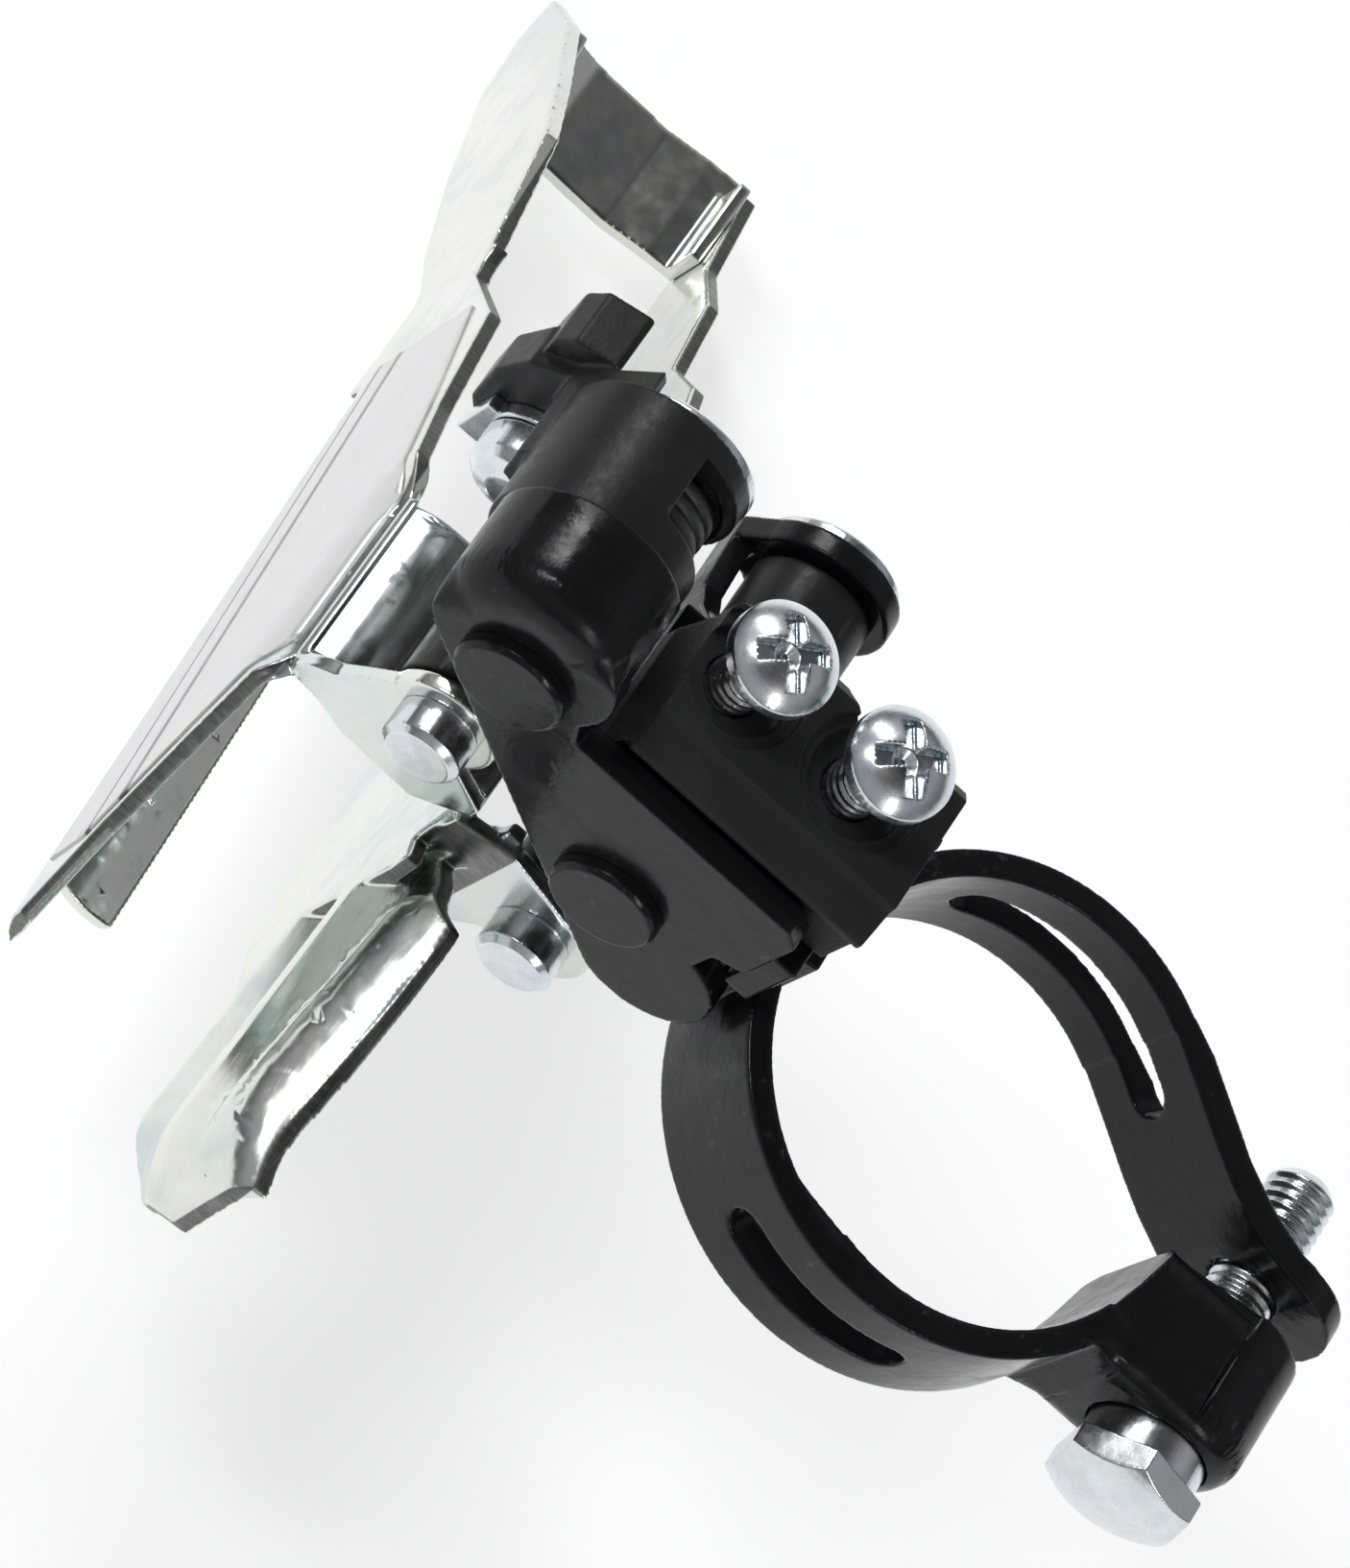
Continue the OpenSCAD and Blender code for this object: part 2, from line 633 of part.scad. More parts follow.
// floor that joins the plates below the chain at the tail, folded up at both sides
module tail_bridge() {
  z = -47.6;
  color([0.7, 0.71, 0.72])
  difference() {
    union() {
      // floor, dropped a little in the middle
      along_x(-71.4, -62)
        polygon([[-58, z], [-52.6, z], [-49.4, z - 0.9], [-42.6, z - 1.1], [-38.6, z - 0.3], [inner_face, z],
                 [inner_face, z + 1.1], [-38.8, z + 0.9], [-42.6, z + 0.1], [-49.4, z + 0.3], [-52.6, z + 1.1], [-58, z + 1.1]]);
      along_x(-69.4, -62) translate([inner_face - 1, z]) square([1, 4.6]);
      translate([tail_hinge_x, outer_face, 0]) rotate([0, 0, tail_yaw]) translate([-tail_hinge_x, 0, 0])
        along_y(cage_t, cage_t + 1) polygon([[-62.4, z], [-62.4, -43.4], [-70, -43.8], [-72, z]]);
    }
    // outboard side stops at the outer plate's inner face
    translate([tail_hinge_x, outer_face, -80]) rotate([0, 0, tail_yaw]) translate([-80, -20, 0])
      cube([100, 20 + cage_t, 100]);
  }
}

module cage_label() {
  color([0.9, 0.9, 0.9])
  along_y(outer_face - 0.15, outer_face)
    polygon([[15, -19.6], [15.6, -24], [-20, -31.6], [-33, -34.4], [-33, -20], [-22, -12.6], [-11, -6], [1.4, -6], [7.6, -12.6]]);
}

bracket();
clamp_band_rear();
clamp_band_front();
clamp_bolt();
adjuster_block();
low_limit_screw();
high_limit_screw();
outer_pivot_pin();
inner_pivot_pin();
outer_pin_disc();
inner_pin_disc();
outer_link();
return_spring();
spring_sleeve();
cable_bolt();
cable_washer();
cable_nut();
inner_link();
inner_link_bushes();
cage_outer_plate();
cage_inner_plate();
cage_outer_stud();
cage_inner_stud();
cage_stud_clips();
bridge_rivets();
tail_bridge();
cage_label();
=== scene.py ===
import json
import math

import bmesh
import bpy
from mathutils import Matrix, Vector

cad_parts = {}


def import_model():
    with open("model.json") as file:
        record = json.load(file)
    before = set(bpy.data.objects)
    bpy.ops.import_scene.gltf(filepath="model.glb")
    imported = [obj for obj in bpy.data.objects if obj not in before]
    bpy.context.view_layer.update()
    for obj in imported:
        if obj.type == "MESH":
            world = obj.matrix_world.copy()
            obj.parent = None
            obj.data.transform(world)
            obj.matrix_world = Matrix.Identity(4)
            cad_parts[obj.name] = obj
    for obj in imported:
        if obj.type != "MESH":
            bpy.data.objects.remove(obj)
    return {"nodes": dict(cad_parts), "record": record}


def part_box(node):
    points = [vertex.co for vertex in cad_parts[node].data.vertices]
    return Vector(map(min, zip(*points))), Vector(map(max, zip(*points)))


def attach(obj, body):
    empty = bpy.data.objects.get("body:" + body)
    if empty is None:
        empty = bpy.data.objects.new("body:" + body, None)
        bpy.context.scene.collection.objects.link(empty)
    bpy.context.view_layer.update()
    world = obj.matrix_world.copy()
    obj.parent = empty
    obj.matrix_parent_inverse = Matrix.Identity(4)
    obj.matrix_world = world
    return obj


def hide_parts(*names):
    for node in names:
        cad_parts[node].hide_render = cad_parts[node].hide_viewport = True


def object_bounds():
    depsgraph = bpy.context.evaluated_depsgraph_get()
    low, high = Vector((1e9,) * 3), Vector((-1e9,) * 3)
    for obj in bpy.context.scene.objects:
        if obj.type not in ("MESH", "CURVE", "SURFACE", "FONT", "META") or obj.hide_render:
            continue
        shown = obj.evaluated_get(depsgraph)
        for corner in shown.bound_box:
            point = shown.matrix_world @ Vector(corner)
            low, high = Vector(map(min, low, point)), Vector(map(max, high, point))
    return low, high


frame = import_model()
CAD_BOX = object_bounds()
NODES = frame["nodes"]
BODY_OF = {n: b for b, ns in frame["record"]["behaviour"]["bodies"].items() for n in ns}
SLOT_OF = {p["node"]: p["material_slot"] for p in frame["record"]["subparts"]}
MM = 0.001

# Places on the object, in mm: +X is forward, +Y is inboard and +Z is up. A centre is its Y and Z.
OUTER_FACE = -51.5
INNER_FACE = -36.0
BRIDGE_TOP = -5.0
SHOULDER = (-44.5, 21)
SHOULDER_R = 6.3
SHOULDER_FRONT = 7.2
EAR = (22.4, 0)
EAR_R = 5.75
EAR_X = (-1.2, 8.4)
CABLE_BOLT = (-48.5, 9.3)
# A fillet smaller than this leaves the edge as it is
LEAST_FILLET = 0.05

# Colours of bright zinc
ZINC_BLUE = (0.66, 0.73, 0.72)
ZINC_WARM = (0.76, 0.76, 0.70)
ZINC_DEEP = (0.48, 0.57, 0.61)


# ---------------------------------------------------------------- materials

class Graph:
    """Short names for building a node material; lengths in it are millimetres."""

    def __init__(self, name):
        self.mat = bpy.data.materials.new(name)
        self.mat.use_nodes = True
        self.tree = self.mat.node_tree
        self.bsdf = self.tree.nodes["Principled BSDF"]
        coord = self.tree.nodes.new("ShaderNodeTexCoord")
        self.normal = coord.outputs["Normal"]
        self.mm = self.mapped(coord.outputs["Object"], (1000, 1000, 1000))

    def mapped(self, source, scale):
        node = self.tree.nodes.new("ShaderNodeMapping")
        node.inputs["Scale"].default_value = scale
        self.tree.links.new(source, node.inputs["Vector"])
        return node.outputs["Vector"]

    def noise(self, scale, detail=3.0, rough=0.55, stretch=None, distortion=0.0):
        node = self.tree.nodes.new("ShaderNodeTexNoise")
        node.inputs["Scale"].default_value = scale
        node.inputs["Detail"].default_value = detail
        node.inputs["Roughness"].default_value = rough
        node.inputs["Distortion"].default_value = distortion
        source = self.mapped(self.mm, stretch) if stretch else self.mm
        self.tree.links.new(source, node.inputs["Vector"])
        return node.outputs["Fac"]

    def ramp(self, fac, low, high, value_low=0.0, value_high=1.0):
        node = self.tree.nodes.new("ShaderNodeMapRange")
        ends = (("From Min", low), ("From Max", high), ("To Min", value_low), ("To Max", value_high))
        for key, value in ends:
            node.inputs[key].default_value = value
        self.tree.links.new(fac, node.inputs["Value"])
        return node.outputs["Result"]

    def between(self, source, low, high, blur):
        """1 where source is between low and high, falling to 0 over blur inside each end."""
        rise = self.ramp(source, low, low + blur)
        fall = self.ramp(source, high, high - blur)
        return self.math("MULTIPLY", rise, fall)

    def math(self, op, a, b=None, clamp=False):
        node = self.tree.nodes.new("ShaderNodeMath")
        node.operation = op
        node.use_clamp = clamp
        for socket, value in zip(node.inputs, (a, b)):
            if value is None:
                continue
            if isinstance(value, (int, float)):
                socket.default_value = value
            else:
                self.tree.links.new(value, socket)
        return node.outputs[0]

    def mix(self, fac, a, b):
        node = self.tree.nodes.new("ShaderNodeMix")
        node.data_type = "RGBA"
        self.tree.links.new(fac, node.inputs["Factor"])
        for socket, value in ((node.inputs["A"], a), (node.inputs["B"], b)):
            if isinstance(value, tuple):
                socket.default_value = (*value, 1.0)
            else:
                self.tree.links.new(value, socket)
        return node.outputs["Result"]

    def axis(self, source, index):
        node = self.tree.nodes.new("ShaderNodeSeparateXYZ")
        self.tree.links.new(source, node.inputs[0])
        return node.outputs[index]

    def pointiness(self):
        return self.tree.nodes.new("ShaderNodeNewGeometry").outputs["Pointiness"]

    def colour(self, source):
        self.tree.links.new(source, self.bsdf.inputs["Base Color"])

    def roughness(self, source):
        self.tree.links.new(source, self.bsdf.inputs["Roughness"])

    def bump(self, *layers):
        """Each layer is (height, strength, distance in mm); they are chained."""
        last = None
        for height, strength, distance in layers:
            node = self.tree.nodes.new("ShaderNodeBump")
            node.inputs["Strength"].default_value = strength
            node.inputs["Distance"].default_value = distance * MM
            self.tree.links.new(height, node.inputs["Height"])
            if last is not None:
                self.tree.links.new(last, node.inputs["Normal"])
            last = node.outputs["Normal"]
        self.tree.links.new(last, self.bsdf.inputs["Normal"])

    def set(self, **values):
        """Sets sockets of the shader that have one value all over."""
        for key, value in values.items():
            self.bsdf.inputs[key.replace("_", " ")].default_value = value


def black_paint():
    """Glossy black with a cloudy film of dust, smears, and thin paint on sharp edges."""
    g = Graph("black_paint")
    cloud = g.noise(0.18, 4)
    dust = g.ramp(g.noise(3.2, 5, 0.7), 0.66, 0.78)
    worn = g.ramp(g.pointiness(), 0.545, 0.62)
    chipped = g.math("MULTIPLY", worn, g.ramp(g.noise(1.1, 4), 0.5, 0.62))
    base = g.mix(cloud, (0.006, 0.006, 0.007), (0.015, 0.015, 0.017))
    base = g.mix(g.math("MULTIPLY", dust, 0.25), base, (0.09, 0.09, 0.09))
    base = g.mix(g.math("MULTIPLY", chipped, 0.35), base, (0.10, 0.10, 0.11))
    g.colour(base)
    smear = g.noise(0.35, 5, 0.65, stretch=(1, 0.4, 1), distortion=0.8)
    g.roughness(g.math("ADD", g.ramp(smear, 0.35, 0.65, 0.1, 0.3), g.math("MULTIPLY", dust, 0.2)))
    g.set(IOR=1.27)
    g.bump((g.noise(0.5, 3), 0.35, 0.12), (g.noise(5.0, 3), 0.15, 0.02))
    return g.mat


def black_cast():
    """Semi-gloss black over a fine cast grain, paler where an edge is worn."""
    g = Graph("black_cast")
    cloud = g.noise(0.25, 4)
    grain = g.noise(7.0, 4, 0.7)
    worn = g.ramp(g.pointiness(), 0.54, 0.62)
    base = g.mix(cloud, (0.017, 0.0165, 0.017), (0.030, 0.029, 0.030))
    base = g.mix(g.math("MULTIPLY", worn, 0.5), base, (0.07, 0.07, 0.075))
    g.colour(base)
    g.roughness(g.ramp(g.noise(1.3, 5), 0.3, 0.7, 0.26, 0.42))
    g.set(IOR=1.27)
    g.bump((g.noise(1.4, 3), 0.25, 0.06), (grain, 0.3, 0.04))
    return g.mat


def black_plastic():
    """Moulded plastic with a coarse spark-eroded grain and pale specks."""
    g = Graph("black_plastic")
    grain = g.noise(6.5, 3, 0.75)
    speck = g.ramp(g.noise(9.0, 3, 0.8), 0.62, 0.75)
    base = g.mix(g.noise(0.3, 3), (0.020, 0.020, 0.0205), (0.034, 0.034, 0.0345))
    base = g.mix(g.math("MULTIPLY", speck, 0.35), base, (0.08, 0.08, 0.08))
    g.colour(base)
    g.roughness(g.ramp(grain, 0.35, 0.65, 0.34, 0.58))
    g.set(IOR=1.25)
    g.bump((grain, 0.7, 0.09), (g.noise(0.7, 2), 0.25, 0.1))
    return g.mat


def zinc_colour(g, patch_scale):
    """Bright zinc that drifts between blue and warm, with deeper patches."""
    wide = g.noise(0.055, 3, 0.5, distortion=0.6)
    patch = g.noise(patch_scale, 4, 0.55)
    base = g.mix(g.ramp(wide, 0.35, 0.65), ZINC_BLUE, ZINC_WARM)
    return g.mix(g.math("MULTIPLY", g.ramp(patch, 0.52, 0.72), 0.5), base, ZINC_DEEP)


def zinc_plate(name, y_low, y_high):
    """Bright zinc sheet; its sheared edges lie between two levels of Y, in mm, and are dark and rough."""
    g = Graph(name)
    base = zinc_colour(g, 0.16)
    drawn = g.noise(1.0, 4, 0.7, stretch=(0.12, 3.5, 3.5))
    side = g.math("ABSOLUTE", g.axis(g.normal, 1))
    inside = g.between(g.axis(g.mm, 1), y_low, y_high, 0.1)
    sheared = g.math("MULTIPLY", g.ramp(side, 0.42, 0.28), inside)
    streak = g.noise(1.0, 3, 0.7, stretch=(3.2, 0.8, 3.2))
    dark = g.mix(streak, (0.05, 0.05, 0.05), (0.34, 0.34, 0.33))
    g.colour(g.mix(sheared, base, dark))
    smooth = g.ramp(g.noise(0.5, 4), 0.3, 0.7, 0.13, 0.25)
    rough = g.math("ADD", smooth, g.math("MULTIPLY", g.ramp(drawn, 0.5, 0.7), 0.1))
    g.roughness(g.math("ADD", rough, g.math("MULTIPLY", sheared, 0.22), clamp=True))
    g.set(Metallic=1.0)
    g.bump((g.noise(0.22, 2), 0.3, 0.12), (drawn, 0.10, 0.02),
           (g.math("MULTIPLY", streak, sheared), 0.35, 0.06))
    return g.mat


def zinc_formed():
    """Bright zinc on folded sheet, with no sheared edge."""
    g = Graph("zinc_formed")
    g.colour(zinc_colour(g, 0.2))
    g.roughness(g.ramp(g.noise(0.6, 4), 0.3, 0.7, 0.12, 0.24))
    g.set(Metallic=1.0)
    g.bump((g.noise(0.25, 2), 0.3, 0.12), (g.noise(3.0, 3), 0.05, 0.02))
    return g.mat


def zinc_hardware():
    """Plated fasteners: spotted, with painted shade that darkens the hollows to a deep blue-green."""
    g = Graph("zinc_hardware")
    patch = g.noise(0.45, 5, 0.6)
    spots = g.ramp(g.noise(2.2, 5, 0.7), 0.58, 0.72)
    base = g.mix(g.ramp(patch, 0.35, 0.65), (0.62, 0.68, 0.72), (0.79, 0.81, 0.82))
    base = g.mix(g.math("MULTIPLY", spots, 0.4), base, (0.42, 0.47, 0.51))
    # painted shade: concave hollows and recesses are darkened to a deep blue-green
    hollow = g.ramp(g.pointiness(), 0.492, 0.44)
    g.colour(g.mix(hollow, base, (0.13, 0.25, 0.26)))
    g.roughness(g.math("ADD", g.ramp(patch, 0.3, 0.7, 0.17, 0.32), g.math("MULTIPLY", spots, 0.12)))
    g.set(Metallic=1.0)
    g.bump((g.noise(0.8, 3), 0.25, 0.06), (g.noise(6.0, 3), 0.12, 0.02))
    return g.mat


def spring_steel():
    g = Graph("spring_steel")
    grain = g.noise(4.0, 4, 0.7)
    g.colour(g.mix(grain, (0.035, 0.035, 0.036), (0.13, 0.13, 0.13)))
    g.roughness(g.ramp(grain, 0.3, 0.7, 0.38, 0.6))
    g.set(Metallic=0.7)
    g.bump((grain, 0.5, 0.06))
    return g.mat


def pale_plastic():
    g = Graph("pale_plastic")
    g.colour(g.mix(g.noise(0.5, 3), (0.62, 0.62, 0.57), (0.74, 0.74, 0.70)))
    g.roughness(g.ramp(g.noise(1.5, 3), 0.3, 0.7, 0.4, 0.55))
    g.bump((g.noise(3.0, 3), 0.2, 0.03))
    return g.mat


def label_film():
    """Plain silver film with two generic grey stripes and no lettering."""
    g = Graph("label_film")
    slope = 0.3
    level = g.math("SUBTRACT", g.axis(g.mm, 2), g.math("MULTIPLY", g.axis(g.mm, 0), slope))
    wide_stripe = g.between(level, -21.2, -20.2, 0.2)
    thin_stripe = g.between(level, -24.0, -23.5, 0.1)
    base = g.mix(g.noise(0.12, 3), (0.66, 0.67, 0.68), (0.74, 0.74, 0.74))
    base = g.mix(g.math("MAXIMUM", wide_stripe, thin_stripe), base, (0.16, 0.165, 0.175))
    g.colour(base)
    g.roughness(g.ramp(g.noise(0.8, 4), 0.3, 0.7, 0.3, 0.45))
    g.set(Metallic=0.35, Coat_Weight=0.3, Coat_Roughness=0.2)
    g.bump((g.noise(0.5, 3), 0.15, 0.04), (g.noise(8, 2), 0.06, 0.01))
    return g.mat


MATERIALS = {
    "black_paint": black_paint(),
    "black_cast": black_cast(),
    "black_plastic": black_plastic(),
    "outer_plate": zinc_plate("zinc_outer_plate", OUTER_FACE - 0.2, OUTER_FACE + 1.3),
    "inner_plate": zinc_plate("zinc_inner_plate", INNER_FACE - 0.2, INNER_FACE + 5.0),
    "zinc_formed": zinc_formed(),
    "zinc_hardware": zinc_hardware(),
    "spring_steel": spring_steel(),
    "pale_plastic": pale_plastic(),
    "label_film": label_film(),
}


# ---------------------------------------------------------------- shapes, as functions of a point in mm

def clamped(t):
    return min(max(t, 0.0), 1.0)


def smooth_step(x, low, high):
    """0 at low, 1 at high and smooth between; low may be the larger."""
    t = clamped((x - low) / (high - low))
    return t * t * (3 - 2 * t)


def rounded_rim(x, y, z, centre, radius, end, fillet, aim, spread):
    """Rolls over the rim of a disc that faces +X, within spread degrees of the direction aim."""
    margin = 0.2
    fade = 30
    dy, dz = y - centre[0], z - centre[1]
    reach = math.hypot(dy, dz)
    if reach > radius + margin or x > end + margin:
        return x, y, z
    away = abs((math.degrees(math.atan2(dz, dy)) - aim + 180) % 360 - 180)
    r = fillet * smooth_step(away, spread + fade, spread)
    a, b = x - (end - r), reach - (radius - r)
    far = math.hypot(a, b)
    if r < LEAST_FILLET or a <= 0 or b <= 0 or far <= r:
        return x, y, z
    new_reach = radius - r + b * r / far
    return end - r + a * r / far, centre[0] + dy * new_reach / reach, centre[1] + dz * new_reach / reach


def bracket_shape(x, y, z):
    """Rolls over the front rim of the shoulder, above and outboard of its centre."""
    return rounded_rim(x, y, z, SHOULDER, SHOULDER_R, SHOULDER_FRONT, fillet=2.6, aim=120, spread=62)


def front_ear_shape(x, y, z):
    """A rounded free end, and long edges rolled over between the band and the bolt."""
    fillet = 2.2
    middle = (EAR_X[1] + EAR_X[0]) / 2
    half_t = (EAR_X[1] - EAR_X[0]) / 2
    x, y, z = rounded_rim(x, y, z, EAR, EAR_R, EAR_X[1], fillet, aim=0, spread=95)
    r = fillet * smooth_step(y, 13.0, 16.0) if y < EAR[0] else 0
    sign = 1 if x > middle else -1
    a, b = sign * (x - middle) - (half_t - r), abs(z) - (EAR_R - r)
    far = math.hypot(a, b)
    if r > LEAST_FILLET and a > 0 and b > 0 and far > r:
        x = middle + sign * (half_t - r + a * r / far)
        z = math.copysign(EAR_R - r + b * r / far, z)
    return x, y, z


def inner_plate_shape(x, y, z):
    """The front of the inner plate: a rolled top edge over a convex strip, and a nose that curls inboard."""
    strip_h, strip_bulge = 5.0, 1.3
    roll_h, roll_depth = 1.4, 0.9
    nose_x, nose_curl = 24.0, 0.06
    front = smooth_step(x, 5.0, 9.0)
    top_edge = -8.4 - 0.26 * (x - 8.6)
    below_edge = top_edge - z
    if front > 0 and INNER_FACE - 1 < y < INNER_FACE + 8:
        fade = smooth_step(x, 29.5, 22.0)
        y -= strip_bulge * front * fade * math.sin(math.pi * clamped(below_edge / strip_h))
        y += roll_depth * front * (1 - clamped(below_edge / roll_h)) ** 2
        y += nose_curl * max(x - nose_x, 0.0) ** 2
    return x, y, z


def cable_bolt_shape(x, y, z):
    """Leaves a hair of room between the bolt and its washer, so that it turns freely."""
    head_back, shank_r = -10.1, 2.32
    dy, dz = y - CABLE_BOLT[0], z - CABLE_BOLT[1]
    reach = math.hypot(dy, dz)
    if x >= head_back + 0.2 or reach <= 2.2:
        return x, y, z
    if reach > 2.6:
        return max(x, head_back), y, z
    return x, CABLE_BOLT[0] + dy * shank_r / reach, CABLE_BOLT[1] + dz * shank_r / reach


def outer_plate_shape(x, y, z):
    """A wide bend where the plate turns into the bridge, and a hollow curl in the lower lip."""
    lip_y, lip_w, lip_hollow = -50.9, 5.4, 0.9
    bend = 5.0 * smooth_step(x, 8.0, 2.4) * smooth_step(x, -17.0, -11.2)
    a, b = OUTER_FACE + bend - y, z - BRIDGE_TOP + bend
    if bend > LEAST_FILLET and a > 0 and b > 0 and y > OUTER_FACE - 0.4:
        shrink = max(a, b) / math.hypot(a, b)
        return x, OUTER_FACE + bend - a * shrink, BRIDGE_TOP - bend + b * shrink
    along = (y - lip_y) / lip_w
    if 0 < along < 1.2 and x > -31 and z < -18:
        z -= lip_hollow * math.sin(math.pi * clamped(along))
    return x, y, z


# ---------------------------------------------------------------- pieces

def linked(name, data):
    """A new object in the scene."""
    obj = bpy.data.objects.new(name, data)
    bpy.context.scene.collection.objects.link(obj)
    return obj


def place(name, mesh, node, material):
    """Puts a finished mesh in the scene in place of a CAD node."""
    mesh.materials.clear()
    mesh.materials.append(material)
    piece = linked(name, mesh)
    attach(piece, BODY_OF[node])
    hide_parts(node)


def cleaned(node):
    """A welded copy of a CAD node's mesh as a temporary object."""
    bm = bmesh.new()
    bm.from_mesh(NODES[node].data)
    bmesh.ops.remove_doubles(bm, verts=bm.verts, dist=2e-6)
    bmesh.ops.dissolve_degenerate(bm, edges=bm.edges, dist=1e-6)
    mesh = bpy.data.meshes.new(node + "_copy")
    bm.to_mesh(mesh)
    bm.free()
    return linked(node + "_work", mesh)


def applied(obj, name):
    """The mesh that obj gives with its modifiers; obj and its data are removed."""
    graph = bpy.context.evaluated_depsgraph_get()
    mesh = bpy.data.meshes.new_from_object(obj.evaluated_get(graph))
    mesh.name = name
    data = obj.data
    store = bpy.data.curves if obj.type == "CURVE" else bpy.data.meshes
    bpy.data.objects.remove(obj)
    store.remove(data)
    return mesh


def reshaped(vertices, shape):
    """Moves each vertex to where shape puts it."""
    for vertex in vertices:
        vertex.co = Vector(shape(*(vertex.co / MM))) * MM


def sliced(bm, axis, first, gap, count):
    """Cuts a mesh by count planes square to an axis, gap mm apart from the level first."""
    normal = Vector((0, 0, 0))
    normal[axis] = 1
    for step in range(count):
        level = MM * (first + gap * step)
        geometry = bm.verts[:] + bm.edges[:] + bm.faces[:]
        bmesh.ops.bisect_plane(bm, geom=geometry, plane_co=normal * level, plane_no=normal)


def softened(name, node, voxel, passes, keep=0.35, material=None, shape=None):
    """A cast, moulded, pressed or turned part: every edge is rounded off, and shape moves its points."""
    obj = cleaned(node)
    remesh = obj.modifiers.new("skin", "REMESH")
    remesh.mode = "VOXEL"
    remesh.voxel_size = voxel * MM
    remesh.adaptivity = 0.0
    smooth = obj.modifiers.new("round", "SMOOTH")
    smooth.factor = 0.5
    smooth.iterations = passes
    thin = obj.modifiers.new("thin", "DECIMATE")
    thin.ratio = keep
    mesh = applied(obj, name)
    if shape:
        reshaped(mesh.vertices, shape)
    mesh.shade_smooth()
    place(name, mesh, node, MATERIALS[material or SLOT_OF[node]])


def turned(name, node, shape=None):
    """A small turned part or fastener, with a finer skin and lightly rounded edges."""
    softened(name, node, 0.09, 2, keep=0.5, shape=shape)


def blank_label():
    """The film on the outer plate, cut fine enough to follow the plate's bend."""
    obj = cleaned("cage_label")
    bm = bmesh.new()
    bm.from_mesh(obj.data)
    sliced(bm, 0, -33.0, 1.2, 40)
    sliced(bm, 2, -34.0, 0.93, 30)
    reshaped(bm.verts, outer_plate_shape)
    bm.to_mesh(obj.data)
    bm.free()
    mesh = applied(obj, "blank_label")
    mesh.shade_smooth()
    mesh.set_sharp_from_angle(angle=math.radians(38))
    place("blank_label", mesh, "cage_label", MATERIALS["label_film"])


def coil_spring():
    """The return spring as one wound wire of round section."""
    low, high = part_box("return_spring")
    centre_y = (low.y + high.y) / 2
    centre_z = (low.z + high.z) / 2
    wire_r = 0.62 * MM
    coil_r = (high.z - low.z) / 2 - wire_r
    length = high.x - low.x - 2 * wire_r
    turns = 4.6
    steps_per_turn = 48
    count = int(turns * steps_per_turn) + 1
    curve = bpy.data.curves.new("spring_path", "CURVE")
    curve.dimensions = "3D"
    curve.bevel_depth = wire_r
    curve.bevel_resolution = 5
    curve.use_fill_caps = True
    spline = curve.splines.new("POLY")
    spline.points.add(count - 1)
    for i in range(count):
        t = i / (count - 1)
        a = 2 * math.pi * turns * t
        x = low.x + wire_r + length * t
        spline.points[i].co = (x, centre_y + coil_r * math.cos(a), centre_z + coil_r * math.sin(a), 1)
    mesh = applied(linked("spring_work", curve), "wound_return_spring")
    mesh.shade_smooth()
    place("wound_return_spring", mesh, "return_spring", MATERIALS["spring_steel"])


TURNED_PARTS = {
    "clamp_bolt_m5": "clamp_bolt",
    "low_screw": "low_limit_screw",
    "high_screw": "high_limit_screw",
    "outer_pin": "outer_pivot_pin",
    "inner_pin": "inner_pivot_pin",
    "outer_pin_end": "outer_pin_disc",
    "inner_pin_end": "inner_pin_disc",
    "hub_sleeve": "spring_sleeve",
    "cable_anchor_washer": "cable_washer",
    "cable_anchor_nut": "cable_nut",
    "link_bushes": "inner_link_bushes",
    "outer_stud": "cage_outer_stud",
    "inner_stud": "cage_inner_stud",
    "stud_clips": "cage_stud_clips",
    "bridge_rivet_pair": "bridge_rivets",
}

softened("bracket_stamping", "bracket", 0.15, 7, shape=bracket_shape)
softened("band_rear_half", "clamp_band_rear", 0.15, 5)
softened("band_front_half", "clamp_band_front", 0.15, 8, shape=front_ear_shape)
softened("adjuster_moulding", "adjuster_block", 0.12, 4)
softened("outer_link_casting", "outer_link", 0.13, 5)
softened("inner_link_casting", "inner_link", 0.15, 5)
softened("cage_outer_stamping", "cage_outer_plate", 0.13, 15, keep=0.22, material="outer_plate",
         shape=outer_plate_shape)
softened("cage_inner_stamping", "cage_inner_plate", 0.13, 22, keep=0.22, material="inner_plate",
         shape=inner_plate_shape)
softened("cage_tail_floor", "tail_bridge", 0.14, 5, material="zinc_formed")
for turned_name, turned_node in TURNED_PARTS.items():
    turned(turned_name, turned_node)
turned("cable_anchor_bolt", "cable_bolt", shape=cable_bolt_shape)
blank_label()
coil_spring()


# ---------------------------------------------------------------- stage, light and camera

def floor():
    half_side = 2.5
    gap_below = 0.0004
    z = CAD_BOX[0].z - gap_below
    corners = [(x * half_side, y * half_side, z) for x, y in ((-1, -1), (1, -1), (1, 1), (-1, 1))]
    mesh = bpy.data.meshes.new("floor")
    mesh.from_pydata(corners, [], [(0, 1, 2, 3)])
    obj = linked("floor", mesh)
    mat = bpy.data.materials.new("pale_floor")
    mat.use_nodes = True
    bsdf = mat.node_tree.nodes["Principled BSDF"]
    bsdf.inputs["Base Color"].default_value = (0.7, 0.7, 0.7, 1)
    bsdf.inputs["Emission Color"].default_value = (1, 1, 1, 1)
    bsdf.inputs["Emission Strength"].default_value = 0.6
    bsdf.inputs["Roughness"].default_value = 0.75
    bsdf.inputs["Specular IOR Level"].default_value = 0.2
    mesh.materials.append(mat)


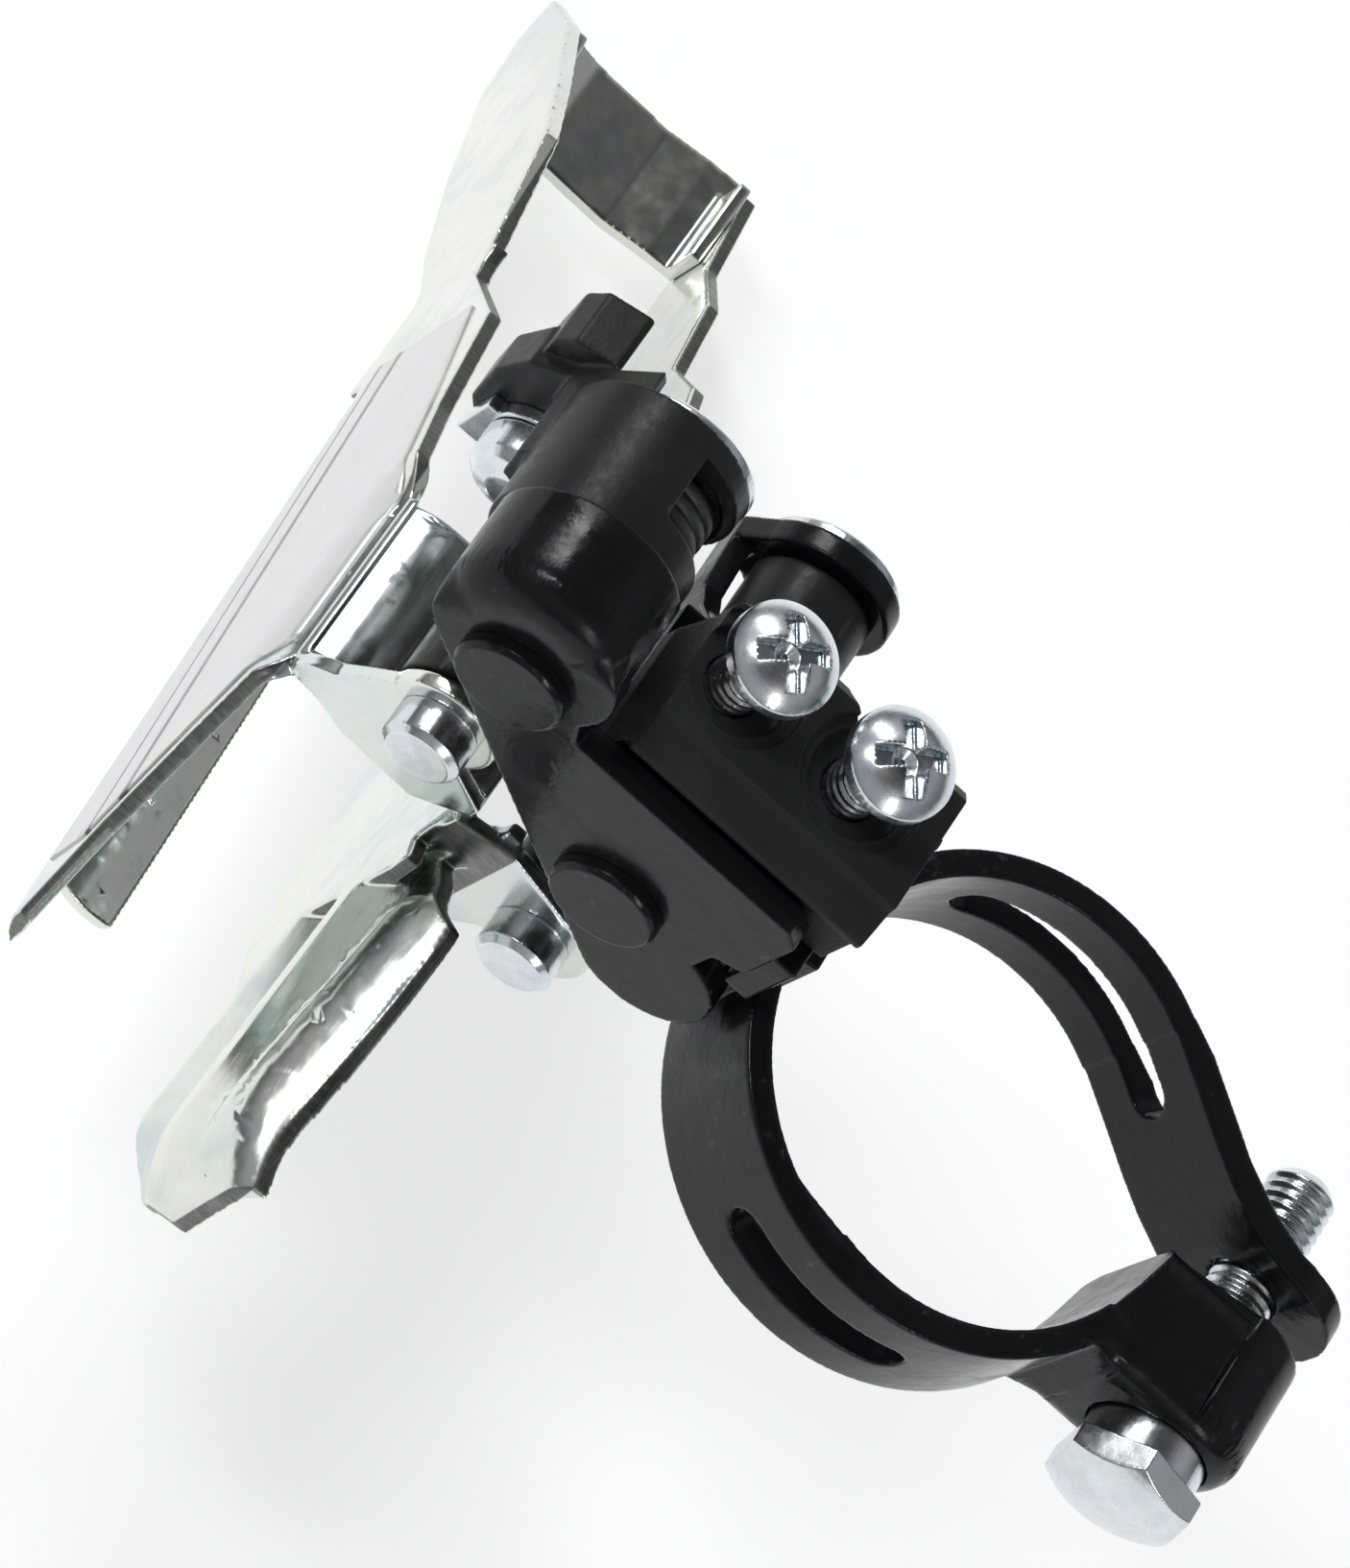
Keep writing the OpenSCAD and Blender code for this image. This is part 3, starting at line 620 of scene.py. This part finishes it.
def area_light(name, position, width, height, power):
    """A rectangular light of that many watts, aimed at the middle of the object."""
    middle = (CAD_BOX[0] + CAD_BOX[1]) / 2
    data = bpy.data.lights.new(name, "AREA")
    data.shape = "RECTANGLE"
    data.size = width
    data.size_y = height
    data.energy = power
    obj = linked(name, data)
    obj.location = position
    obj.rotation_mode = "QUATERNION"
    obj.rotation_quaternion = (middle - Vector(position)).to_track_quat("-Z", "Y")


def world():
    """Studio surround for bright metal to show: a pale band between a dark horizon and ceiling."""
    surround = bpy.data.worlds.new("studio")
    bpy.context.scene.world = surround
    surround.use_nodes = True
    tree = surround.node_tree
    coord = tree.nodes.new("ShaderNodeTexCoord")
    parts = tree.nodes.new("ShaderNodeSeparateXYZ")
    ramp_node = tree.nodes.new("ShaderNodeValToRGB")
    tree.links.new(coord.outputs["Generated"], parts.inputs[0])
    tree.links.new(parts.outputs["Z"], ramp_node.inputs["Fac"])
    band = ramp_node.color_ramp
    band.elements[0].color = (0.04, 0.04, 0.045, 1)
    band.elements[1].color = (0.03, 0.03, 0.032, 1)
    for height, grey in ((0.45, 0.36), (0.66, 0.34), (0.84, 0.07)):
        band.elements.new(height).color = (grey, grey, grey * 1.02, 1)
    tree.links.new(ramp_node.outputs["Color"], tree.nodes["Background"].inputs["Color"])
    tree.nodes["Background"].inputs["Strength"].default_value = 1.0


def camera():
    """A long lens in front, above and outboard; the axes are the view's right, up and back."""
    data = bpy.data.cameras.new("camera")
    data.sensor_width = 36
    data.lens = 176.36
    data.clip_start = 0.01
    data.clip_end = 10
    obj = linked("camera", data)
    right = Vector((-0.4982, 0.7301, 0.4677))
    up = Vector((-0.7221, -0.6479, 0.2423))
    back = Vector((0.48, -0.217, 0.85))
    place_of_lens = Matrix.Translation((0.2245, -0.1308, 0.4062))
    obj.matrix_world = place_of_lens @ Matrix((right, up, back)).transposed().to_4x4()
    bpy.context.scene.camera = obj


floor()
world()
area_light("key", (0.10, -0.60, 0.78), 0.16, 0.30, 2.2)
area_light("side", (0.75, 0.50, 0.45), 0.14, 0.40, 1.4)
area_light("strip", (-0.52, -0.62, 0.58), 0.14, 0.40, 2.6)
camera()
bpy.context.scene.view_settings.view_transform = "Standard"
